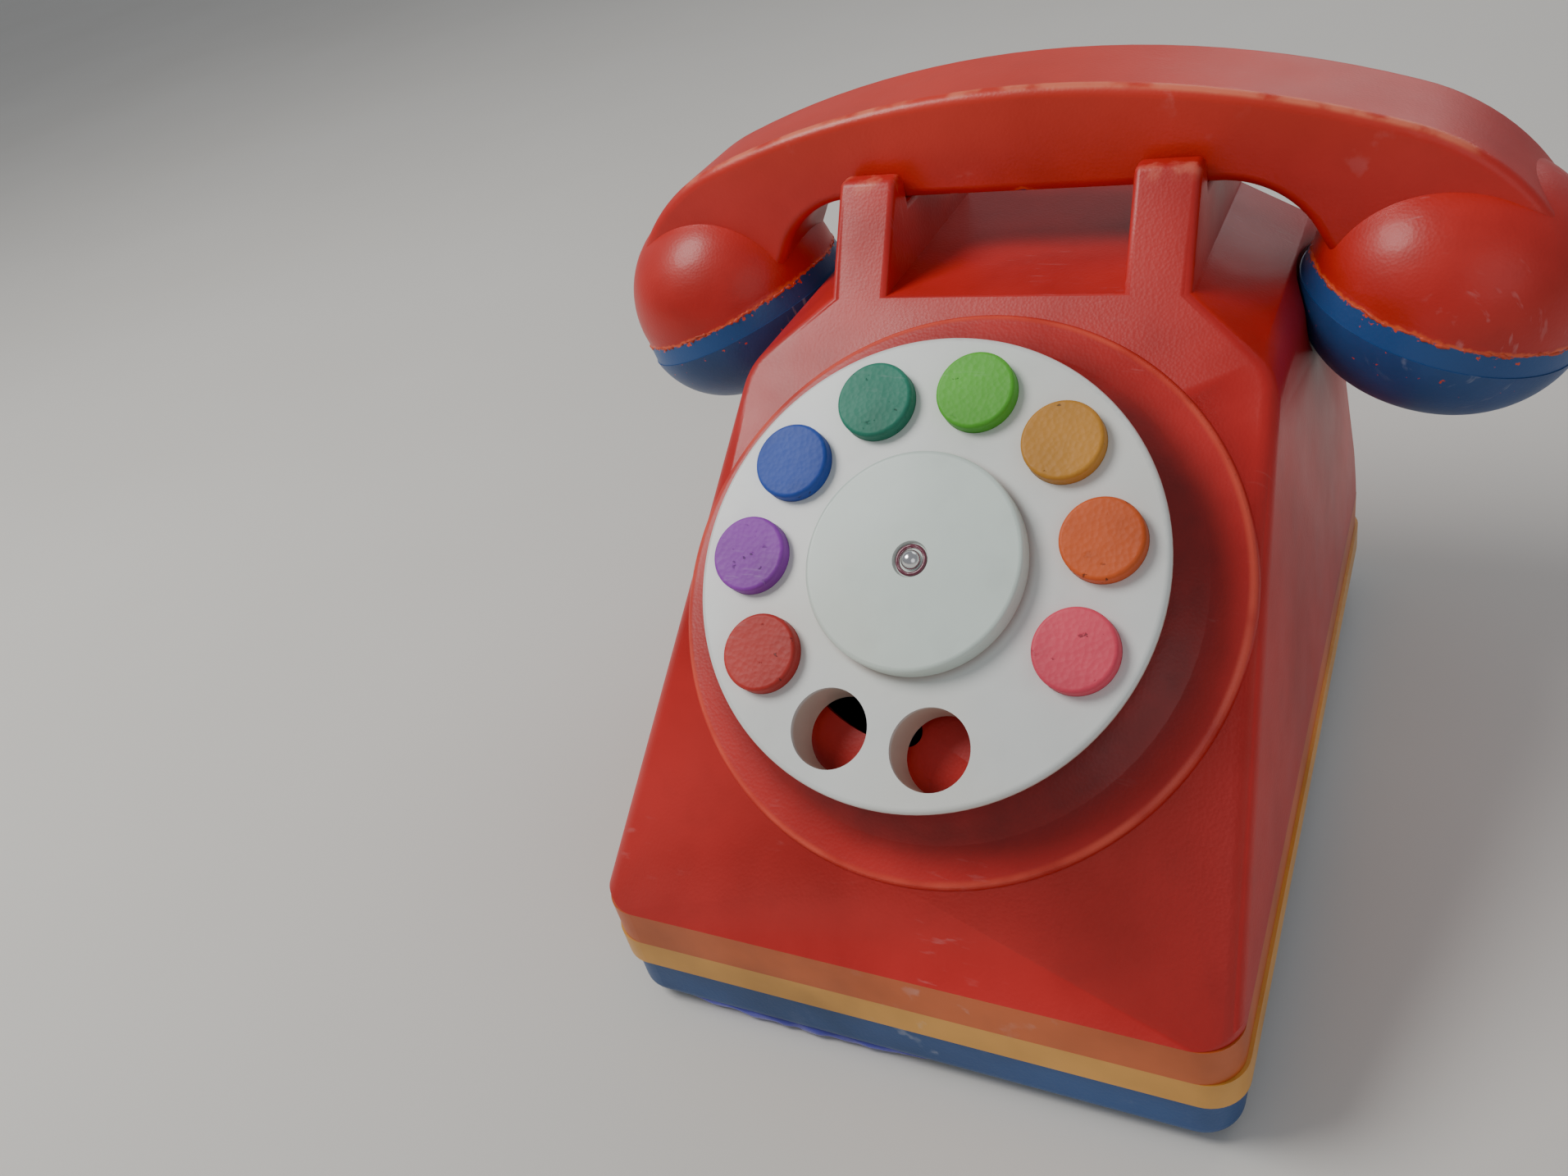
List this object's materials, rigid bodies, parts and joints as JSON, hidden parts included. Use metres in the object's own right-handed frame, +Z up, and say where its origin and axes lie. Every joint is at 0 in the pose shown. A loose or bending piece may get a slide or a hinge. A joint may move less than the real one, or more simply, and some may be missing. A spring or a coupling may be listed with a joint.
{
  "type": "toy rotary telephone",
  "caption": "Toy desk telephone: red wedge housing on coloured bands, white rotary dial with coloured plugs, and a lift-off red handset with blue caps.",
  "frame": {"origin": "bottom centre of the telephone's box, on the surface it stands on", "axes": "+X to the right across the handset, +Y to the back, +Z up; the dial faces -Y"},
  "size_m": [0.2244, 0.18, 0.153],
  "materials": {
    "red_plastic": "moulded, satin gloss",
    "orange_plastic": "moulded, satin gloss",
    "yellow_plastic": "moulded, satin gloss",
    "blue_plastic": "moulded, satin gloss",
    "white_plastic": "moulded, satin gloss",
    "black_rubber": "matte",
    "steel": "satin",
    "bright_steel": "polished",
    "nylon": "matte",
    "paper_cone": "matte",
    "board_green": "satin",
    "chip_black": "matte",
    "cell_wrap": "satin",
    "pink_plastic": "satin",
    "gold_plastic": "satin",
    "lime_plastic": "satin",
    "teal_plastic": "satin",
    "bright_blue_plastic": "satin",
    "purple_plastic": "satin",
    "orange_plug_plastic": "satin",
    "red_plug_plastic": "satin"
  },
  "bodies": {
    "base": {"housing": "red_plastic", "skirt_band": "orange_plastic", "trim_band": "yellow_plastic", "base_tray": "blue_plastic", "battery_door": "blue_plastic", "battery_cells": "cell_wrap", "battery_contacts": "steel", "rubber_feet": "black_rubber", "speaker_frame": "steel", "speaker_cone": "paper_cone", "sound_board": "board_green", "board_parts": "chip_black", "board_spacers": "nylon", "case_screws": "steel", "dial_bush": "nylon", "click_spring": "steel", "hook_bracket": "steel", "hook_spring": "steel"},
    "dial": {"dial_disc": "white_plastic", "dial_hub_cap": "white_plastic", "dial_rivet": "bright_steel", "dial_spindle": "steel", "click_wheel": "nylon", "dial_spring": "steel", "spindle_clip": "steel", "pink_plug": "pink_plastic", "orange_plug": "orange_plug_plastic", "gold_plug": "gold_plastic", "lime_plug": "lime_plastic", "teal_plug": "teal_plastic", "blue_plug": "bright_blue_plastic", "purple_plug": "purple_plastic", "red_plug": "red_plug_plastic"},
    "handset": {"handset_handle": "red_plastic", "ear_cap": "blue_plastic", "mouth_cap": "blue_plastic"},
    "hook": {"hook_yoke": "white_plastic"}
  },
  "joints": [
    {"name": "dial_turn", "type": "hinge", "parent": "base", "child": "dial", "pos_m": [0, -0.02932, 0.07741], "axis": [0, 0.6157, -0.788], "range_deg": [0, 300], "stiffness_Nm_per_rad": 0.02, "springref_deg": -28.65},
    {"name": "handset_lift", "type": "slide", "parent": "base", "child": "handset", "axis": [0, 0, 1], "range_m": [0, 0.08]},
    {"name": "hook_rise", "type": "slide", "parent": "base", "child": "hook", "axis": [0, 0, 1], "range_m": [0, 0.004], "deforming": ["hook_spring"]}
  ],
  "couplings": [
    {"joint": "hook_rise", "follows": "handset_lift", "ratio": 0.05}
  ]
}
